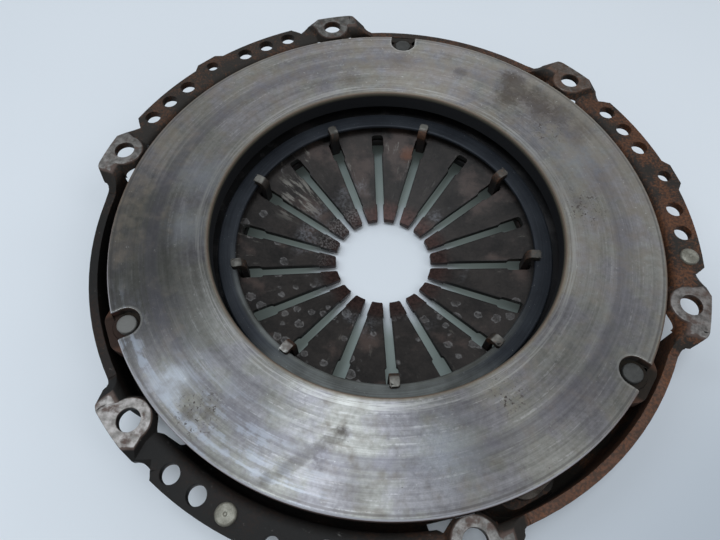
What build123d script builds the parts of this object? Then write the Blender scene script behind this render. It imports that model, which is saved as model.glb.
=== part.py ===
"""Clutch pressure plate: pressed cover, cast plate, diaphragm spring and drive straps.

Units are millimetres. The origin lies on the clutch axis, in the plane of the six
mounting ear faces. +Z points towards the flywheel and a bolt hole lies on +X.
"""

from build123d import *
from math import asin, cos, degrees, hypot, radians, sin, tan
import os

# ---- driving dimensions ----------------------------------------------------------------
# running gaps
seat_gap = 0.06             # between parts that bear on each other
side_gap = 0.6              # beside parts that slide past each other
shank_gap = 0.1             # round a rivet shank
cut_overrun = 1.0           # how far a cut starts clear of the metal

# the circle that everything else is laid out from
friction_outer_r = 122.0    # edge of the cast plate

# flywheel fixing circle
ear_count = 6
bolt_circle_offset = 9.0    # out from the edge of the plate
bolt_hole_r = 4.5
bolt_head_seat_r = 8.8
boss_r = 8.3
boss_taper = 25.0

# pressed cover
sheet = 3.8
strap_wall_gap = 5.8        # plate to wall where the straps hang
flange_wall_gap = 3.0       # plate to wall below the low flange
cover_depth = 40.0          # ear faces to the rear plane
rim_drop = 6.3              # ear faces to the rim where the straps hang
flange_drop = 3.3           # ear faces to the low flange
flange_land = 8.0           # bolt circle to the edge of the flange
corner_bend_r = 11.0
flange_bend_r = 2.6
ear_bend_r = 3.5
ear_flare = 13.0            # half width of an ear face at its outer edge
ear_corner_angle = 5.0      # from the bolt hole to the ear's corner beside the rim
ear_foot_angle = 9.6        # from the bolt hole to where the ear meets the rim
ear_foot_tuck = 0.4         # how far inside the wall the ear's foot starts
ear_corner_r = 6.0
ear_slope_run = 9.0
shoulder_lap_angle = 1.0    # how far an ear's shoulder runs in over the window
neck_r = 6.0
neck_depth = 2.6
neck_angle = 7.2
bulge_height = 2.5          # of the flange's edge beside the dowel hole
bulge_top = 11.0
bulge_base = 23.0
window_width = 21.0         # opening in the wall behind each ear
window_corner_r = 4.0

# holes in the low flange
balance_hole_r = 3.7
balance_circle_offset = 1.9 # out from the bolt circle
balance_first = 8.0
balance_pitch = 5.5
balance_holes_per_side = 3
dowel_hole_r = 3.0
dowel_circle_offset = 4.7   # out from the bolt circle

# cast plate
bore_gap = 1.0              # round the preload ring
friction_drop = 0.8         # ear faces to the friction face
plate_body = 9.4
face_chamfer = 0.8
ridge_inset = 2.0           # ridge to the edge of the diaphragm spring
ridge_nose_r = 2.6
ridge_notches = 12
ridge_notch_width = 12.0
back_step = 2.6             # relief in the back over the anchored strap ends

# lugs and drive straps
strap_groups = 3
first_strap_angle = 90.0    # middle of the first sector that carries straps
lug_angle = 12.3            # from the middle of the sector
anchor_angle = -16.0
strap_circle_inset = 4.7    # in from the edge of the plate
lug_width = 22.0            # where it leaves the edge of the plate
lug_nose_width = 14.0
lug_overhang = 4.0          # out from the edge of the plate
lug_root = 15.0             # in from the edge of the plate
lug_corner_r = 2.0
lug_thickness = 7.2
pocket_r = 6.3
pocket_depth = 4.4
leaves = 3
leaf_thickness = 0.8
leaf_gap = 0.06
leaf_width = 15.0
strap_drop = 7.4            # how far the anchored end lies behind the lug end
strap_flat = 9.0            # flat length past the rivet before the leaf bends
strap_bend_r = 14.0
pad_length = 24.0
pad_depth = 17.0
pad_corner_r = 6.0
pad_wall = 2.7
pad_taper = 14.0
rivet_shank_r = 2.9
rivet_head_r = 4.1
rivet_head_height = 2.4
rivet_head_chamfer = 0.5
rivet_foot_r = 4.6
rivet_foot_height = 1.8
rivet_foot_chamfer = 0.6

# diaphragm spring
diaphragm_inset = 24.0      # edge of the plate to the edge of the spring
diaphragm_reach = 23.5      # circle on which the spring pivots to its edge
diaphragm_thickness = 2.6
fulcrum_drop = 20.0         # ear faces to the spring's front surface at the fulcrum
cone_angle = 16.2
tip_r = 23.7
tip_round = 1.7
fingers = 18
finger_phase = 10.0
slot_width = 4.2
slot_mouth_width = 3.2
slot_mouth_length = 8.3
slot_window_before_hook = 6.0
slot_window_past_hook = 1.3
slot_window_corner_r = 1.4

# fulcrum rings and the hooks that hold them
wire_r = 1.5
ring_inset = 5.0            # fulcrum to the ring's inner edge
ring_outset = 3.3           # fulcrum to the ring's outer edge
ring_thickness = 2.1
ring_edge_r = 0.9
hooks = 9
hook_width = 4.3
hook_thickness = 2.9
hook_gap = 1.6              # outer side of a hook's leg to the ring
hook_lap = 2.1              # how far a hook reaches over the ring
hook_bend_r = 2.4
hook_corner_r = 1.3
seat_inset = 5.5            # fulcrum to the seat's inner edge, from which the hooks run in
seat_outset = 6.5           # fulcrum to the seat's outer bend
seat_bend_r = 5.0
slope_run = 12.0
floor_land = 4.0            # flat floor kept inside the corner bend

# balance rivets, pressed into two of the balance holes
weight_angles = (11.0, 262.0)
weight_head_r = 4.0
weight_head_height = 1.3
weight_dimple_r = 0.8

# ---- sizes worked out from them --------------------------------------------------------
ear_pitch = 360 / ear_count
half_pitch = ear_pitch / 2
group_pitch = 360 / strap_groups
diaphragm_outer_r = friction_outer_r - diaphragm_inset
fulcrum_r = diaphragm_outer_r - diaphragm_reach
bolt_circle_r = friction_outer_r + bolt_circle_offset
flange_outer_r = bolt_circle_r + flange_land
bulge_r = flange_outer_r + bulge_height
balance_circle_r = bolt_circle_r + balance_circle_offset
dowel_circle_r = bolt_circle_r + dowel_circle_offset
wall_mid_r = friction_outer_r + strap_wall_gap + sheet / 2
wall_outer_r = wall_mid_r + sheet / 2
flange_wall_mid_r = friction_outer_r + flange_wall_gap + sheet / 2
inner_clear_r = friction_outer_r + side_gap
window_floor_r = friction_outer_r - cut_overrun
window_half_angle = degrees(asin(window_width / 2 / wall_mid_r))
strap_circle_r = friction_outer_r - strap_circle_inset
lug_inner_r = friction_outer_r - lug_root
lug_outer_r = friction_outer_r + lug_overhang
back_step_r = strap_circle_r - leaf_width / 2 - side_gap
ring_inner_r = fulcrum_r - ring_inset
ring_outer_r = fulcrum_r + ring_outset
hook_inner_r = ring_inner_r - hook_gap - hook_thickness
hook_outer_r = ring_inner_r + hook_lap
seat_inner_r = fulcrum_r - seat_inset
seat_outer_r = fulcrum_r + seat_outset
floor_inner_r = seat_outer_r + slope_run
floor_outer_r = flange_wall_mid_r - corner_bend_r - floor_land
friction_inner_r = ring_outer_r + bore_gap
ridge_r = diaphragm_outer_r - ridge_inset
slot_mouth_r = tip_r + slot_mouth_length
slot_window_r = hook_inner_r - slot_window_before_hook
slot_window_end_r = hook_inner_r + hook_thickness + slot_window_past_hook
slot_window_width = hook_width + hook_gap
cone_slope = tan(radians(cone_angle))
upright_thickness = diaphragm_thickness / cos(radians(cone_angle))
wire_rise = wire_r / cos(radians(cone_angle))
friction_z = -friction_drop
plate_back_z = friction_z - plate_body
lug_top_z = friction_z - pocket_depth
lug_bottom_z = lug_top_z - lug_thickness
leaf_pitch = leaf_thickness + leaf_gap
strap_stack = leaves * leaf_pitch
anchor_top_z = lug_bottom_z - strap_stack - strap_drop - seat_gap
floor_mid_z = -cover_depth + sheet / 2
front_wire_z = -fulcrum_drop + wire_rise + seat_gap
rear_wire_z = -fulcrum_drop - upright_thickness - wire_rise - seat_gap
seat_mid_z = rear_wire_z - wire_r - seat_gap - sheet / 2
ring_bottom_z = front_wire_z + wire_r + seat_gap
ring_top_z = ring_bottom_z + ring_thickness
hook_mid_z = ring_top_z + seat_gap + hook_thickness / 2
ridge_nose_rise = (ridge_nose_r + seat_gap) / cos(radians(cone_angle))


def spring_front_z(radius):
    """Height of the diaphragm's front surface at a radius."""
    return -fulcrum_drop + cone_slope * (radius - fulcrum_r)


def polar_point(radius, angle):
    """Point in the XY plane from a radius and an angle in degrees."""
    return (radius * cos(radians(angle)), radius * sin(radians(angle)))


def radial_plane(angle):
    """Upright plane through the axis: its x runs outwards at the angle, its y runs up."""
    outward = (*polar_point(1, angle), 0)
    return Plane(origin=(0, 0, 0), x_dir=outward, z_dir=(*polar_point(1, angle - 90), 0))


def outward_plane(radius, angle):
    """Upright plane facing outwards at a radius: its x runs round the axis, its y runs up."""
    origin = (*polar_point(radius, angle), 0)
    return Plane(origin=origin, x_dir=(*polar_point(1, angle + 90), 0), z_dir=(*polar_point(1, angle), 0))


# ---- cover: one sector of low flange with its two ears, drawn about +X -----------------
with BuildSketch() as sector_outline:
    with BuildLine():
        foot_r = wall_outer_r - ear_foot_tuck
        ear_foot = polar_point(foot_r, half_pitch + ear_foot_angle)
        ear_corner = polar_point(flange_outer_r, half_pitch + ear_corner_angle)
        mirror_corner = polar_point(flange_outer_r, -half_pitch - ear_corner_angle)
        mirror_foot = polar_point(foot_r, -half_pitch - ear_foot_angle)
        inner_end = polar_point(inner_clear_r, half_pitch + ear_foot_angle)
        mirror_inner_end = polar_point(inner_clear_r, -half_pitch - ear_foot_angle)
        Line(inner_end, ear_foot)
        Line(ear_foot, ear_corner)
        ThreePointArc(ear_corner, (flange_outer_r, 0), mirror_corner)
        Line(mirror_corner, mirror_foot)
        Line(mirror_foot, mirror_inner_end)
        ThreePointArc(mirror_inner_end, (inner_clear_r, 0), inner_end)
    make_face()
    fillet(sector_outline.vertices().sort_by_distance((0, 0))[-2:], ear_corner_r)
    with BuildLine():
        Polyline(
            (flange_outer_r - bulge_height, -bulge_base / 2),
            (bulge_r, -bulge_top / 2),
            (bulge_r, bulge_top / 2),
            (flange_outer_r - bulge_height, bulge_base / 2),
            close=True,
        )
    make_face()
    neck_centre_r = flange_outer_r + neck_r - neck_depth
    with Locations(
        polar_point(neck_centre_r, half_pitch - neck_angle),
        polar_point(neck_centre_r, neck_angle - half_pitch),
    ):
        Circle(neck_r, mode=Mode.SUBTRACT)

with BuildPart() as sector:
    # low flange, bent outwards from the wall
    with BuildSketch(radial_plane(-half_pitch)):
        with BuildLine():
            FilletPolyline(
                (flange_wall_mid_r, -rim_drop - corner_bend_r),
                (flange_wall_mid_r, -flange_drop - sheet / 2),
                (bulge_r + sheet, -flange_drop - sheet / 2),
                radius=flange_bend_r,
            )
        trace(line_width=sheet)
    revolve(axis=Axis.Z, revolution_arc=ear_pitch)
    # shoulders that carry the ears on the side away from the low flange
    shoulder_arc = ear_foot_angle - window_half_angle + shoulder_lap_angle
    for shoulder_start in (half_pitch + ear_foot_angle - shoulder_arc, -half_pitch - ear_foot_angle):
        with BuildSketch(radial_plane(shoulder_start)):
            with BuildLine():
                FilletPolyline(
                    (wall_mid_r, -rim_drop - corner_bend_r),
                    (wall_mid_r, -sheet / 2),
                    (bulge_r + sheet, -sheet / 2),
                    radius=ear_bend_r,
                )
            trace(line_width=sheet)
        revolve(axis=Axis.Z, revolution_arc=shoulder_arc)
    # ear faces, pressed up from the flange
    for ear_angle in (-half_pitch, half_pitch):
        with BuildSketch(Plane.XY.rotated((0, 0, ear_angle))):
            with Locations((bolt_circle_r, 0)):
                Circle(boss_r)
            with BuildLine():
                Polyline(
                    (bolt_circle_r, -boss_r),
                    (bulge_r, -ear_flare),
                    (bulge_r, ear_flare),
                    (bolt_circle_r, boss_r),
                    close=True,
                )
            make_face()
        extrude(amount=-flange_drop - sheet, taper=-boss_taper)
    # trimmed to the outline
    with BuildSketch(Plane.XY.offset(cut_overrun)):
        add(sector_outline.sketch)
    extrude(amount=-cover_depth, mode=Mode.INTERSECT)
    for side in (-1, 1):
        ear_plane = Plane.XY.rotated((0, 0, side * half_pitch))
        # slope from the ear face down to the rim
        with BuildSketch(outward_plane(window_floor_r, side * half_pitch)):
            slope_foot = side * wall_outer_r * sin(radians(ear_foot_angle))
            slope_top = slope_foot - side * ear_slope_run
            with BuildLine():
                Polyline(
                    (slope_top, 0),
                    (slope_top, cut_overrun),
                    (slope_foot + side * sheet, cut_overrun),
                    (slope_foot + side * sheet, -rim_drop),
                    (slope_foot, -rim_drop),
                    close=True,
                )
            make_face()
        extrude(amount=bulge_r - window_floor_r, mode=Mode.SUBTRACT)
        # bolt hole, and the seat for the bolt head behind the ear
        with BuildSketch(ear_plane.offset(-sheet)):
            with Locations((bolt_circle_r, 0)):
                Circle(bolt_head_seat_r)
        extrude(amount=-2 * sheet, mode=Mode.SUBTRACT)
        with BuildSketch(ear_plane.offset(cut_overrun)):
            with Locations((bolt_circle_r, 0)):
                Circle(bolt_hole_r)
        extrude(amount=-cut_overrun - 2 * sheet, mode=Mode.SUBTRACT)
    # balance holes and the dowel hole
    with BuildSketch():
        for step in range(balance_holes_per_side):
            hole_angle = balance_first + step * balance_pitch
            with Locations(
                polar_point(balance_circle_r, hole_angle),
                polar_point(balance_circle_r, -hole_angle),
            ):
                Circle(balance_hole_r)
        with Locations((dowel_circle_r, 0)):
            Circle(dowel_hole_r)
    extrude(amount=-flange_drop - 2 * sheet, mode=Mode.SUBTRACT)

# ---- cover: one hook over the preload ring ---------------------------------------------
hook_leg_r = hook_inner_r + hook_thickness / 2
with BuildPart() as hook:
    with BuildSketch(Plane.XZ):
        with BuildLine():
            FilletPolyline(
                (fulcrum_r, seat_mid_z),
                (hook_leg_r, seat_mid_z),
                (hook_leg_r, hook_mid_z),
                (hook_outer_r, hook_mid_z),
                radius=hook_bend_r,
            )
        trace(line_width=hook_thickness)
    extrude(amount=hook_width / 2, both=True)
    fillet(hook.edges().filter_by(Axis.Z).sort_by(Axis.Z)[-2:], hook_corner_r)

# ---- cover: one raised pad for the anchored strap ends ---------------------------------
pad_height = anchor_top_z - floor_mid_z
with BuildPart() as pad:
    with BuildSketch(Plane.XY.offset(anchor_top_z)):
        RectangleRounded(pad_depth, pad_length, pad_corner_r)
    extrude(amount=-pad_height, taper=-pad_taper)
with BuildPart() as pad_hollow:
    with BuildSketch(Plane.XY.offset(anchor_top_z - sheet)):
        RectangleRounded(pad_depth - 2 * pad_wall, pad_length - 2 * pad_wall, pad_corner_r - pad_wall)
    extrude(amount=-pad_height - sheet, taper=-pad_taper)

# ---- cover -----------------------------------------------------------------------------
with BuildPart() as cover:
    # spring seat, slope and flat floor
    with BuildSketch(Plane.XZ):
        with BuildLine():
            FilletPolyline(
                (seat_inner_r, seat_mid_z),
                (seat_outer_r, seat_mid_z),
                (floor_inner_r, floor_mid_z),
                (floor_outer_r, floor_mid_z),
                radius=seat_bend_r,
            )
        trace(line_width=sheet)
    revolve(axis=Axis.Z)
    # wall, wider where the straps hang than below the low flange
    for group in range(strap_groups):
        strap_start = first_strap_angle + group * group_pitch - half_pitch
        for start, wall_r, wall_top in (
            (strap_start, wall_mid_r, -rim_drop),
            (strap_start + ear_pitch, flange_wall_mid_r, -rim_drop - corner_bend_r),
        ):
            with BuildSketch(radial_plane(start)):
                with BuildLine():
                    FilletPolyline(
                        (floor_outer_r, floor_mid_z),
                        (wall_r, floor_mid_z),
                        (wall_r, wall_top),
                        radius=corner_bend_r,
                    )
                trace(line_width=sheet)
            revolve(axis=Axis.Z, revolution_arc=ear_pitch)
    with PolarLocations(0, strap_groups, start_angle=half_pitch):
        add(sector.part)
    with PolarLocations(0, hooks, start_angle=finger_phase):
        add(hook.part)
    with PolarLocations(strap_circle_r, strap_groups, start_angle=first_strap_angle + anchor_angle):
        add(pad.part)
        add(pad_hollow.part, mode=Mode.SUBTRACT)
    # rivet holes in the pads
    with BuildSketch(Plane.XY.offset(anchor_top_z + cut_overrun)):
        with PolarLocations(strap_circle_r, strap_groups, start_angle=first_strap_angle + anchor_angle):
            Circle(rivet_shank_r + shank_gap)
    extrude(amount=-2 * sheet, mode=Mode.SUBTRACT)
    # windows in the wall behind the ears
    for ear in range(ear_count):
        with BuildSketch(outward_plane(window_floor_r, ear * ear_pitch)):
            with Locations((0, -sheet - cover_depth / 2)):
                RectangleRounded(window_width, cover_depth, window_corner_r)
        extrude(amount=wall_outer_r + cut_overrun - window_floor_r, mode=Mode.SUBTRACT)

# ---- pressure plate --------------------------------------------------------------------
with BuildPart() as lug:
    with BuildSketch(Plane.XY.offset(lug_top_z)) as lug_outline:
        with BuildLine():
            Polyline(
                (lug_inner_r, -lug_width / 2),
                (friction_outer_r, -lug_width / 2),
                (lug_outer_r, -lug_nose_width / 2),
                (lug_outer_r, lug_nose_width / 2),
                (friction_outer_r, lug_width / 2),
                (lug_inner_r, lug_width / 2),
                close=True,
            )
        make_face()
        fillet(lug_outline.vertices().sort_by(Axis.X)[-2:], lug_corner_r)
    extrude(amount=-lug_thickness)
with BuildPart() as pocket:
    with BuildSketch(Plane.XY.offset(cut_overrun)):
        with Locations((strap_circle_r, 0)):
            Circle(pocket_r)
        with Locations((strap_circle_r + pocket_r, 0)):
            Rectangle(2 * pocket_r, 2 * pocket_r)
    extrude(amount=lug_top_z - cut_overrun)

with BuildPart() as pressure_plate:
    with BuildSketch(Plane.XZ):
        with BuildLine():
            Polyline(
                (friction_inner_r, friction_z),
                (friction_outer_r, friction_z),
                (friction_outer_r, plate_back_z + back_step),
                (back_step_r, plate_back_z + back_step),
                (back_step_r - back_step, plate_back_z),
                (friction_inner_r, plate_back_z),
                close=True,
            )
        make_face()
    revolve(axis=Axis.Z)
    face_edges = pressure_plate.faces().sort_by(Axis.Z)[-1].edges()
    chamfer(face_edges, face_chamfer)
    # ridge that the diaphragm's outer edge presses on, notched to let air through
    ridge_nose_z = spring_front_z(ridge_r) + ridge_nose_rise
    with BuildSketch(Plane.XZ):
        with Locations((ridge_r, ridge_nose_z)):
            Circle(ridge_nose_r)
        with Locations((ridge_r, (plate_back_z + ridge_nose_z) / 2)):
            Rectangle(2 * ridge_nose_r, plate_back_z - ridge_nose_z)
    revolve(axis=Axis.Z)
    with PolarLocations(ridge_r, ridge_notches, start_angle=first_strap_angle):
        with Locations((0, 0, plate_back_z)):
            Box(
                4 * ridge_nose_r,
                ridge_notch_width,
                cover_depth,
                align=(Align.CENTER, Align.CENTER, Align.MAX),
                mode=Mode.SUBTRACT,
            )
    with PolarLocations(0, strap_groups, start_angle=first_strap_angle + lug_angle):
        add(lug.part)
        add(pocket.part, mode=Mode.SUBTRACT)
    with BuildSketch(Plane.XY.offset(lug_top_z + cut_overrun)):
        with PolarLocations(strap_circle_r, strap_groups, start_angle=first_strap_angle + lug_angle):
            Circle(rivet_shank_r + shank_gap)
    extrude(amount=-lug_thickness - 2 * cut_overrun, mode=Mode.SUBTRACT)

# ---- diaphragm spring ------------------------------------------------------------------
with BuildSketch() as finger_gap:
    with Locations((slot_mouth_r / 2, 0)):
        Rectangle(slot_mouth_r, slot_mouth_width)
    with Locations(((slot_mouth_r + slot_window_r) / 2, 0)):
        Rectangle(slot_window_r - slot_mouth_r + slot_window_corner_r, slot_width)
    with Locations(((slot_window_r + slot_window_end_r) / 2, 0)):
        RectangleRounded(slot_window_end_r - slot_window_r, slot_window_width, slot_window_corner_r)

with BuildPart() as diaphragm_spring:
    with BuildSketch(Plane.XZ):
        with BuildLine():
            Polyline(
                (tip_r, spring_front_z(tip_r)),
                (diaphragm_outer_r, spring_front_z(diaphragm_outer_r)),
                (diaphragm_outer_r, spring_front_z(diaphragm_outer_r) - upright_thickness),
                (tip_r, spring_front_z(tip_r) - upright_thickness),
                close=True,
            )
        make_face()
    revolve(axis=Axis.Z)
    with BuildSketch():
        with PolarLocations(0, fingers, start_angle=finger_phase):
            add(finger_gap.sketch)
    extrude(amount=-2 * cover_depth, mode=Mode.SUBTRACT)
    upright_edges = diaphragm_spring.edges().filter_by(Axis.Z)
    tip_corners = upright_edges.filter_by(
        lambda edge: hypot(edge.center().X, edge.center().Y) < tip_r + tip_round
    )
    fillet(tip_corners, tip_round)

# ---- rings -----------------------------------------------------------------------------
with BuildPart() as front_fulcrum_wire:
    with Locations((0, 0, front_wire_z)):
        Torus(fulcrum_r, wire_r)

with BuildPart() as rear_fulcrum_wire:
    with Locations((0, 0, rear_wire_z)):
        Torus(fulcrum_r, wire_r)

with BuildPart() as preload_ring:
    with BuildSketch(Plane.XZ) as preload_profile:
        with Locations(((ring_inner_r + ring_outer_r) / 2, (ring_bottom_z + ring_top_z) / 2)):
            Rectangle(ring_outer_r - ring_inner_r, ring_thickness)
        fillet(preload_profile.vertices(), ring_edge_r)
    revolve(axis=Axis.Z)

# ---- balance rivets --------------------------------------------------------------------
with BuildPart() as balance_rivet:
    with BuildSketch(Plane.XZ):
        with BuildLine():
            shank_r = balance_hole_r - shank_gap
            Polyline(
                (0, seat_gap + weight_head_height),
                (weight_head_r - weight_head_height / 2, seat_gap + weight_head_height),
                (weight_head_r, seat_gap + weight_head_height / 2),
                (weight_head_r, seat_gap),
                (shank_r, seat_gap),
                (shank_r, -sheet),
                (shank_r - weight_dimple_r, -sheet - weight_dimple_r),
                (0, -sheet - weight_dimple_r),
                close=True,
            )
        make_face()
    revolve(axis=Axis.Z)
    with Locations((0, 0, seat_gap + weight_head_height)):
        Sphere(weight_dimple_r, mode=Mode.SUBTRACT)

# ---- rivet heads, drawn above z = 0 ----------------------------------------------------
with BuildPart() as button_head:
    Cylinder(rivet_head_r, rivet_head_height, align=(Align.CENTER, Align.CENTER, Align.MIN))
    chamfer(button_head.edges().sort_by(Axis.Z)[-1], rivet_head_chamfer)
with BuildPart() as flat_head:
    Cylinder(rivet_foot_r, rivet_foot_height, align=(Align.CENTER, Align.CENTER, Align.MIN))
    chamfer(flat_head.edges().sort_by(Axis.Z)[-1], rivet_foot_chamfer)

# ---- the three strap groups: leaves, lug rivet, anchor rivet ---------------------------
nodes = {}
lug_joint_bottom = lug_bottom_z - strap_stack
anchor_joint_top = lug_bottom_z - leaf_gap - strap_drop
anchor_joint_bottom = anchor_top_z - sheet

for group in range(strap_groups):
    middle = first_strap_angle + group * group_pitch
    lug_point = Vector(*polar_point(strap_circle_r, middle + lug_angle), 0)
    anchor_point = Vector(*polar_point(strap_circle_r, middle + anchor_angle), 0)
    span = (anchor_point - lug_point).length
    along = (anchor_point - lug_point).normalized()

    for leaf_index in range(leaves):
        leaf_z = lug_bottom_z - leaf_gap - leaf_thickness / 2 - leaf_index * leaf_pitch
        side_plane = Plane(
            origin=(lug_point.X, lug_point.Y, leaf_z),
            x_dir=along,
            z_dir=along.cross(Vector(0, 0, 1)),
        )
        with BuildPart() as leaf:
            with BuildSketch(side_plane):
                with BuildLine():
                    FilletPolyline(
                        (-leaf_width, 0),
                        (strap_flat, 0),
                        (span - strap_flat, -strap_drop),
                        (span + leaf_width, -strap_drop),
                        radius=strap_bend_r,
                    )
                trace(line_width=leaf_thickness)
            extrude(amount=leaf_width, both=True)
            with BuildSketch(Plane(origin=lug_point, x_dir=along, z_dir=(0, 0, 1))):
                with Locations((span / 2, 0)):
                    SlotCenterToCenter(span, leaf_width)
                with Locations((0, 0), (span, 0)):
                    Circle(rivet_shank_r + shank_gap, mode=Mode.SUBTRACT)
            extrude(amount=-cover_depth, mode=Mode.INTERSECT)
        nodes[f"drive_strap_{group + 1}_{leaf_index + 1}"] = leaf.part

    with BuildPart() as lug_rivet:
        with Locations((lug_point.X, lug_point.Y, lug_top_z + seat_gap)):
            add(button_head.part)
            Cylinder(
                rivet_shank_r,
                lug_top_z - lug_joint_bottom + 2 * seat_gap,
                align=(Align.CENTER, Align.CENTER, Align.MAX),
            )
        with Locations(Location((lug_point.X, lug_point.Y, lug_joint_bottom - seat_gap), (180, 0, 0))):
            add(flat_head.part)
    nodes[f"lug_rivet_{group + 1}"] = lug_rivet.part

    with BuildPart() as anchor_rivet:
        with Locations((anchor_point.X, anchor_point.Y, anchor_joint_top + seat_gap)):
            add(flat_head.part)
            Cylinder(
                rivet_shank_r,
                anchor_joint_top - anchor_joint_bottom + 2 * seat_gap,
                align=(Align.CENTER, Align.CENTER, Align.MAX),
            )
        with Locations(Location((anchor_point.X, anchor_point.Y, anchor_joint_bottom - seat_gap), (180, 0, 0))):
            add(button_head.part)
    nodes[f"anchor_rivet_{group + 1}"] = anchor_rivet.part

# ---- the rest of the assembly ----------------------------------------------------------
nodes["cover"] = cover.part
nodes["pressure_plate"] = pressure_plate.part
nodes["diaphragm_spring"] = diaphragm_spring.part
nodes["front_fulcrum_wire"] = front_fulcrum_wire.part
nodes["rear_fulcrum_wire"] = rear_fulcrum_wire.part
nodes["preload_ring"] = preload_ring.part
for number, weight_angle in enumerate(weight_angles, start=1):
    with BuildPart() as placed_rivet:
        with Locations((*polar_point(balance_circle_r, weight_angle), -flange_drop)):
            add(balance_rivet.part)
    nodes[f"balance_rivet_{number}"] = placed_rivet.part

os.makedirs("parts", exist_ok=True)
for label, part in nodes.items():
    part.label = label
    export_step(part, f"parts/{label}.step")
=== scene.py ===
"""Looks of the clutch pressure plate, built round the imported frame.

Sizes are given in millimetres, and MM turns them into Blender's metres.
"""

from math import atan2, cos, pi, radians, sin, tan

import bmesh
import bpy
from mathutils import Matrix, Vector


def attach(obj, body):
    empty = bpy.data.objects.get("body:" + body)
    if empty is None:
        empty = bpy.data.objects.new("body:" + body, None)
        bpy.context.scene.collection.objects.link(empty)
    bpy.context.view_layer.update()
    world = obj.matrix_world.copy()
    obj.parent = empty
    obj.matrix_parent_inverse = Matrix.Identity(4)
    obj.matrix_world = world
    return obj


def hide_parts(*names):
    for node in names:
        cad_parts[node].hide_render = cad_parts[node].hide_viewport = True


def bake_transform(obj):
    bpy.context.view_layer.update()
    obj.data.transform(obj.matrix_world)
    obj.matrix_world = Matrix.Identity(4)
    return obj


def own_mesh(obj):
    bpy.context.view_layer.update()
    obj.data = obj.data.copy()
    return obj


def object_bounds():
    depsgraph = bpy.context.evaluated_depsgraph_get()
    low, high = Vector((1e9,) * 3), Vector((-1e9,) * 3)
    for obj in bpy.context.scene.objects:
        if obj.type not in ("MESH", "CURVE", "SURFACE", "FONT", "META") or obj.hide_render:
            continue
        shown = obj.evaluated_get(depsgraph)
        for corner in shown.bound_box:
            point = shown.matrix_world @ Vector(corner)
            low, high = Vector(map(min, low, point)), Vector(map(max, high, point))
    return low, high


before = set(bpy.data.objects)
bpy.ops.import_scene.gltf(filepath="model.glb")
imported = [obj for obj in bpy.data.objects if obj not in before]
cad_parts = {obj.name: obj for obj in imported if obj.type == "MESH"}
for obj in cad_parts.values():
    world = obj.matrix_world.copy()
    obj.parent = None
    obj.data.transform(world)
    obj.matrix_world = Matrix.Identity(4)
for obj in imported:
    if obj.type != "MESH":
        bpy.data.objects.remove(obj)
cad_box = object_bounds()
scene = bpy.context.scene
scene.view_settings.view_transform = "Standard"
MM = 0.001

# ---- camera ------------------------------------------------------------------------------
# A hand-held camera looks down on the part from its near side, a little rolled.
# The lens is about 28 mm on full frame.
camera_data = bpy.data.cameras.new("camera")
camera_data.sensor_width = 36
camera_data.lens = 27.73
camera_data.clip_start = 0.01
camera = bpy.data.objects.new("camera", camera_data)
scene.collection.objects.link(camera)
scene.camera = camera
camera_place = (0.03036, -0.13295, 0.20690)
camera_right = Vector((0.95075, 0.30995, 0.00290))
camera_up = Vector((-0.27434, 0.83711, 0.47328))
camera_back = camera_right.cross(camera_up)
camera_turn = Matrix((camera_right, camera_up, camera_back)).transposed().to_4x4()
camera.matrix_world = Matrix.Translation(camera_place) @ camera_turn

# ---- daylight ----------------------------------------------------------------------------
# Two low windows stand behind the part and three pale panels hang over it, as in a workshop.
# The room round them gives a bluish fill.
def window_light(name, place, size, power, colour=(0.94, 0.97, 1.0)):
    """A rectangular pane of daylight at a place, turned towards the part."""
    data = bpy.data.lights.new(name, "AREA")
    data.shape = "RECTANGLE"
    data.size, data.size_y = size
    data.energy = power
    data.color = colour
    pane = bpy.data.objects.new(name, data)
    scene.collection.objects.link(pane)
    turn = Vector(place).to_track_quat("Z", "Y").to_matrix().to_4x4()
    pane.matrix_world = Matrix.Translation(place) @ turn


window_size = (1.2, 0.9)
panel_size = (0.3, 0.6)
sky_blue = (0.84, 0.92, 1.0)
window_light("side_window", (1.4, 1.6, 1.3), window_size, 4.5)
window_light("far_left_window", (-1.2, 1.9, 1.3), window_size, 4.5)
window_light("overhead_panel", (-0.09, -0.18, 1.25), (0.36, 0.7), 7, sky_blue)
window_light("left_panel", (-0.66, -0.14, 1.1), panel_size, 2.2, sky_blue)
window_light("right_panel", (0.85, -0.14, 1.1), panel_size, 1.6)

room = bpy.data.worlds.new("room")
scene.world = room
room.use_nodes = True
room_light = room.node_tree.nodes["Background"]
room_light.inputs["Color"].default_value = (0.90, 0.95, 1.0, 1)
room_light.inputs["Strength"].default_value = 0.34


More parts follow.
